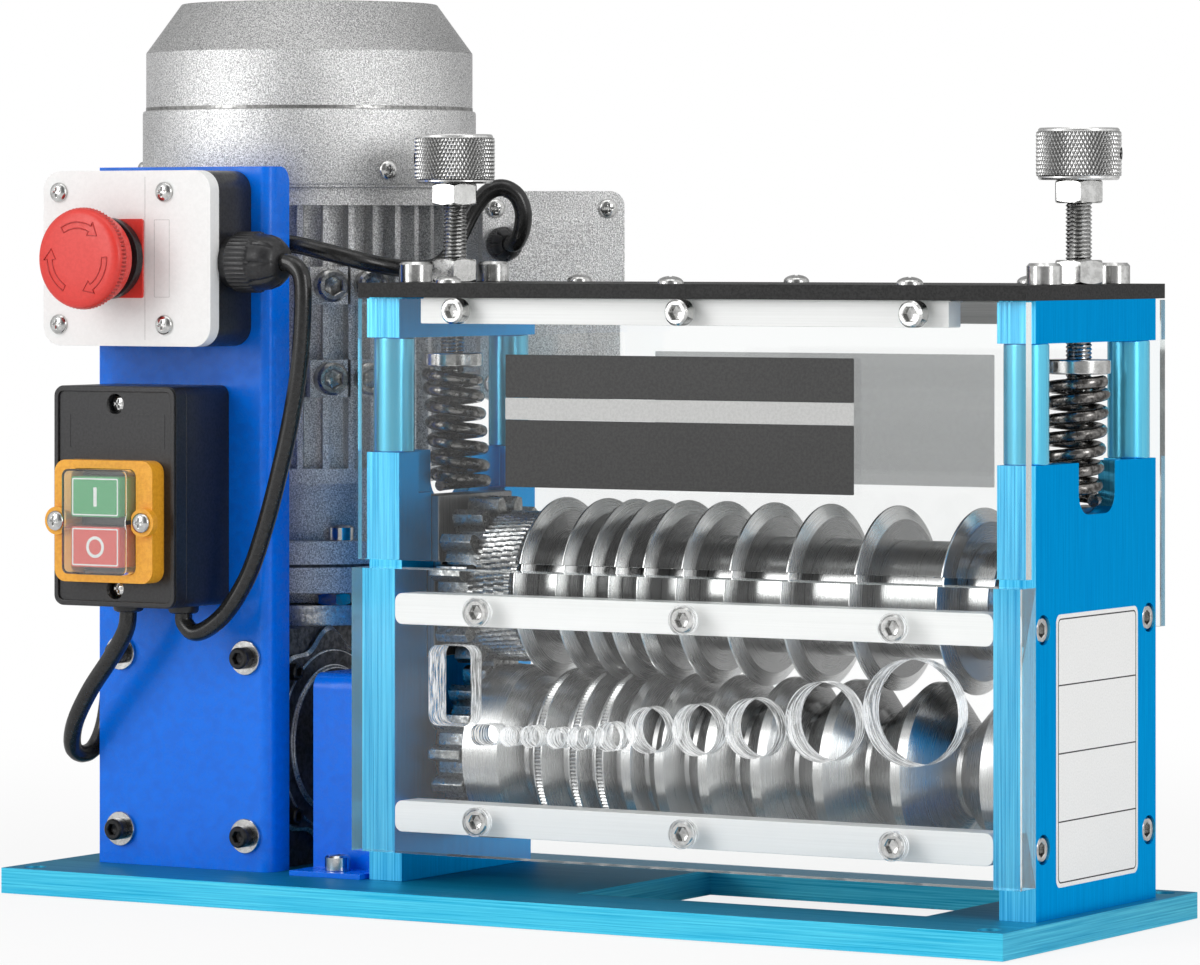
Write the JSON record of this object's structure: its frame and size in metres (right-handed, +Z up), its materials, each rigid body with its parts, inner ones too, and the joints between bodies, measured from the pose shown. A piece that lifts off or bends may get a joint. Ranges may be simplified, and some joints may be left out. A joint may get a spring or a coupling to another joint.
{
  "type": "electric wire stripping machine",
  "caption": "Electric bench wire stripper: a geared motor drives a grooved feed roller under a spring-loaded roller of round blades, behind clear guards with wire holes.",
  "frame": {"origin": "centre of the base plate's underside, in the middle of the four bench bolt holes", "axes": "+X along the rollers away from the motor, +Y to the rear, +Z up"},
  "size_m": [0.4519, 0.2481, 0.354],
  "materials": {
    "anodised_base": "anodised blue, brushed",
    "plate_blue": "anodised blue, satin",
    "panel_blue": "gloss blue powder coat",
    "cover_black": "satin black",
    "acrylic_clear": "clear acrylic",
    "bar_aluminium": "brushed",
    "bright_steel": "nickel plated",
    "black_oxide": "black oxide",
    "cast_dark": "dark painted casting",
    "cast_silver": "speckled silver paint on a casting",
    "fan_cover_silver": "speckled silver paint",
    "winding_copper": "varnished windings",
    "inner_steel": "machined",
    "wheel_bronze": "machined bronze",
    "fan_black": "moulded",
    "box_black": "fine texture",
    "lid_white": "moulded",
    "legend_red": "plain plate",
    "mushroom_red": "moulded",
    "bezel_yellow": "moulded",
    "membrane_clear": "clear flexible film",
    "button_green": "moulded",
    "button_red": "moulded",
    "cable_black": "satin sheath",
    "gland_black": "moulded",
    "spring_steel": "oiled spring wire",
    "roller_steel": "turned",
    "blade_steel": "ground",
    "gear_steel": "milled",
    "block_steel": "milled"
  },
  "bodies": {
    "frame": {"base_plate": "anodised_base", "end_plate_left": "plate_blue", "end_plate_right": "plate_blue", "top_blocks": "plate_blue", "guide_posts": "plate_blue", "top_cover": "cover_black", "front_guard_upper": "acrylic_clear", "front_guard_lower": "acrylic_clear", "rear_guard": "acrylic_clear", "guard_bars": "bar_aluminium", "frame_fasteners": "bright_steel", "gearbox_housing": "cast_dark", "gearbox_covers": "cast_dark", "motor_flange": "cast_silver", "motor_housing": "cast_silver", "motor_stator": "winding_copper", "fan_cover": "fan_cover_silver", "terminal_box": "cast_silver", "terminal_box_lid": "cast_silver", "control_panel": "panel_blue", "coupling_guard": "panel_blue", "panel_screws": "black_oxide", "estop_box": "box_black", "estop_lid": "lid_white", "estop_legend_plate": "legend_red", "estop_contact_block": "box_black", "cable_glands": "gland_black", "switch_box": "box_black", "switch_cover": "box_black", "switch_bezel": "bezel_yellow", "switch_membrane": "membrane_clear", "switch_mechanism": "box_black", "control_screws": "bright_steel", "control_cable": "cable_black", "motor_cable": "cable_black", "lower_bearings": "inner_steel"},
    "motor_drive": {"motor_rotor": "inner_steel", "cooling_fan": "fan_black", "worm_shaft": "inner_steel"},
    "feed": {"worm_wheel": "wheel_bronze", "feed_roller": "roller_steel", "feed_gear": "gear_steel"},
    "carriage": {"bearing_block_left": "block_steel", "bearing_block_right": "block_steel", "spring_left": "spring_steel", "spring_right": "spring_steel"},
    "blades": {"blade_shaft": "roller_steel", "cutter_blades": "blade_steel", "blade_spacers": "roller_steel", "knurled_roller": "gear_steel", "blade_gear": "gear_steel"},
    "collar_left_body": {"collar_left": "inner_steel"},
    "collar_right_body": {"collar_right": "inner_steel"},
    "adjuster_left": {"screw_left": "bright_steel", "knob_left": "bright_steel"},
    "adjuster_right": {"screw_right": "bright_steel", "knob_right": "bright_steel"},
    "estop_mushroom": {"estop_head": "mushroom_red"},
    "start": {"start_button": "button_green"},
    "stop": {"stop_button": "button_red"}
  },
  "joints": [
    {"name": "motor_spin", "type": "hinge", "parent": "frame", "child": "motor_drive", "pos_m": [-0.1604, 0.046, 0.2], "axis": [0, 0, 1], "continuous": true},
    {"name": "feed_spin", "type": "hinge", "parent": "frame", "child": "feed", "pos_m": [0, 0.006, 0.059], "axis": [-1, 0, 0], "continuous": true},
    {"name": "blade_lift", "type": "slide", "parent": "frame", "child": "carriage", "axis": [0, 0, 1], "range_m": [0, 0.006], "stiffness_N_per_m": 4000, "deforming": ["spring_left", "spring_right"]},
    {"name": "blade_spin", "type": "hinge", "parent": "carriage", "child": "blades", "pos_m": [0, 0.006, 0.123], "axis": [1, 0, 0], "continuous": true},
    {"name": "collar_left_rise", "type": "slide", "parent": "frame", "child": "collar_left_body", "axis": [0, 0, 1], "range_m": [0, 0.0045]},
    {"name": "adjuster_left_turn", "type": "hinge", "parent": "collar_left_body", "child": "adjuster_left", "pos_m": [-0.065, 0.006, 0.28], "axis": [0, 0, 1], "range_deg": [0, 1079]},
    {"name": "collar_right_rise", "type": "slide", "parent": "frame", "child": "collar_right_body", "axis": [0, 0, 1], "range_m": [0, 0.0045]},
    {"name": "adjuster_right_turn", "type": "hinge", "parent": "collar_right_body", "child": "adjuster_right", "pos_m": [0.209, 0.006, 0.28], "axis": [0, 0, 1], "range_deg": [0, 1079]},
    {"name": "estop_press", "type": "slide", "parent": "frame", "child": "estop_mushroom", "axis": [0, 1, 0], "range_m": [0, 0.005]},
    {"name": "start_press", "type": "slide", "parent": "frame", "child": "start", "axis": [0, 1, 0], "range_m": [0, 0.003], "stiffness_N_per_m": 300},
    {"name": "stop_press", "type": "slide", "parent": "frame", "child": "stop", "axis": [0, 1, 0], "range_m": [0, 0.003], "stiffness_N_per_m": 300}
  ],
  "couplings": [
    {"joint": "feed_spin", "follows": "motor_spin", "ratio": 0.033333},
    {"joint": "blade_spin", "follows": "motor_spin", "ratio": 0.033333},
    {"joint": "collar_left_rise", "follows": "adjuster_left_turn", "m_per_rad": 0.00023873},
    {"joint": "collar_right_rise", "follows": "adjuster_right_turn", "m_per_rad": 0.00023873}
  ]
}
